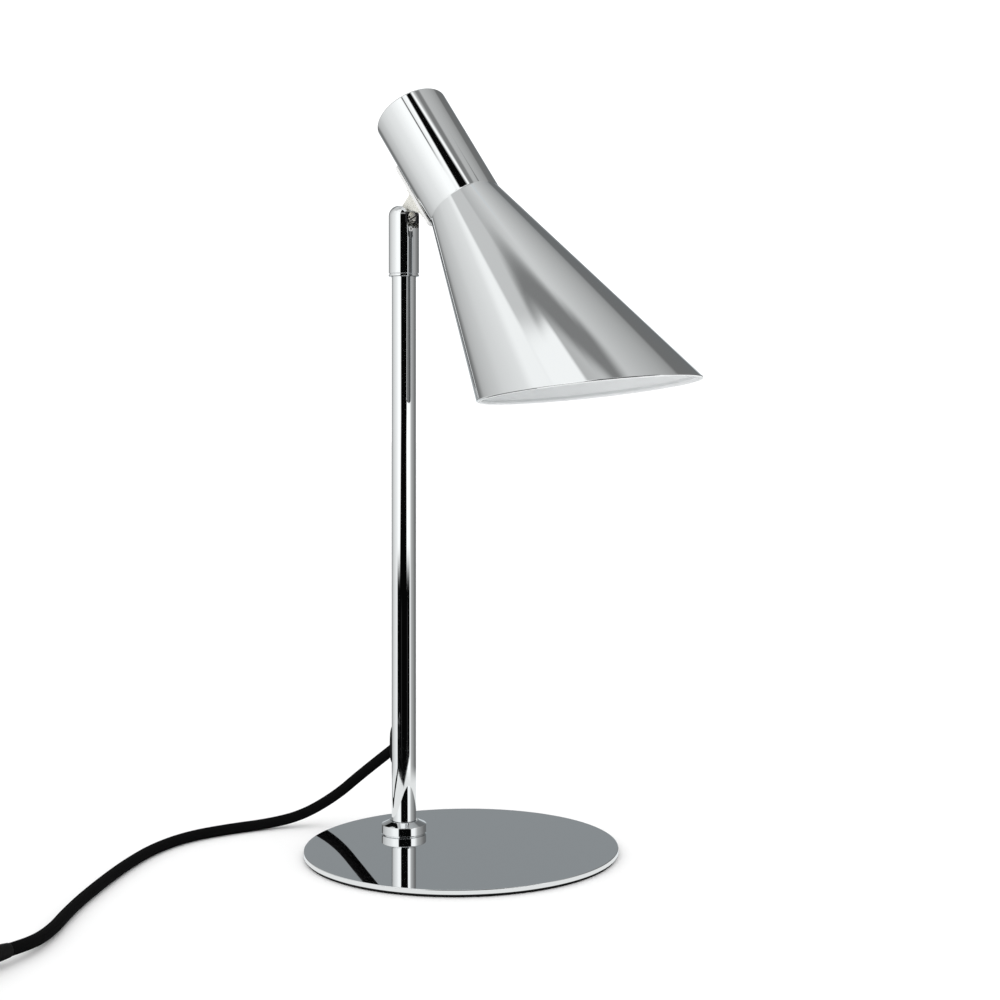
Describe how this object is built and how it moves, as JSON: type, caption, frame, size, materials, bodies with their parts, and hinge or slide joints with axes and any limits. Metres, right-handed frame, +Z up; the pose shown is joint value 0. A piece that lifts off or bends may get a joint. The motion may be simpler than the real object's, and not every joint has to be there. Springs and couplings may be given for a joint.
{
  "type": "desk lamp",
  "caption": "Desk lamp with a round flat base, an off-centre upright tube, a swivelling and tilting hinge and a long conical shade, with a textile lead.",
  "frame": {"origin": "centre of the base disc, on the surface it stands on", "axes": "+Z up; +X from the tube towards the side the shade points to; the tube stands at -X"},
  "size_m": [0.3344, 0.5862, 0.4909],
  "materials": {
    "chrome": "mirror chrome",
    "satin_enamel": "satin off-white enamel",
    "black_rubber": "matte black",
    "black_plastic": "satin black",
    "steel": "plain steel",
    "nickel": "nickel plated",
    "brass": "plain",
    "nylon": "natural nylon",
    "black_textile": "woven black textile cover",
    "holder_resin": "moulded black",
    "opal_glass": "opal"
  },
  "bodies": {
    "base": {"base_disc": "chrome", "base_pad": "black_rubber", "base_collar": "chrome", "foot_plug": "steel", "foot_screw": "steel", "pole_tube": "chrome", "cord_grommet": "black_rubber", "inner_lead": "black_textile", "top_plug": "steel", "stop_pin": "steel", "swivel_washer": "nylon", "swivel_screw": "steel", "spring_washer": "steel", "switch_base": "black_plastic", "switch_cover": "black_plastic", "switch_screws": "steel", "rocker_pivot": "steel", "cord_run": "black_textile", "cord_coil": "black_textile", "coil_tie": "black_plastic", "plug_body": "black_plastic", "plug_relief": "black_rubber", "plug_pins": "nickel"},
    "cap": {"swivel_cap": "chrome", "hinge_screw": "nickel", "friction_nut": "steel", "friction_screw": "nickel"},
    "head": {"tongue": "satin_enamel", "tongue_rivets": "steel", "back_plate": "satin_enamel", "plate_spacers": "black_plastic", "shade": "chrome", "plate_screws": "nickel", "plate_nuts": "steel", "holder_bracket": "steel", "holder_nipple": "brass", "nipple_nut": "brass", "lamp_holder": "holder_resin", "holder_sleeve": "brass", "holder_contact": "brass", "bulb_cap": "nickel", "bulb_glass": "opal_glass"},
    "switch_key": {"rocker": "black_plastic"}
  },
  "joints": [
    {"name": "cap_swivel", "type": "hinge", "parent": "base", "child": "cap", "pos_m": [-0.0518, 0, 0.3951], "axis": [0, 0, 1], "range_deg": [-165, 165]},
    {"name": "head_tilt", "type": "hinge", "parent": "cap", "child": "head", "pos_m": [-0.0518, 0, 0.4079], "axis": [0, -1, 0], "range_deg": [-3, 38]},
    {"name": "switch_rocker", "type": "hinge", "parent": "base", "child": "switch_key", "pos_m": [-0.028, -0.36, 0.0118], "axis": [1, 0, 0], "range_deg": [-8, 8]}
  ]
}
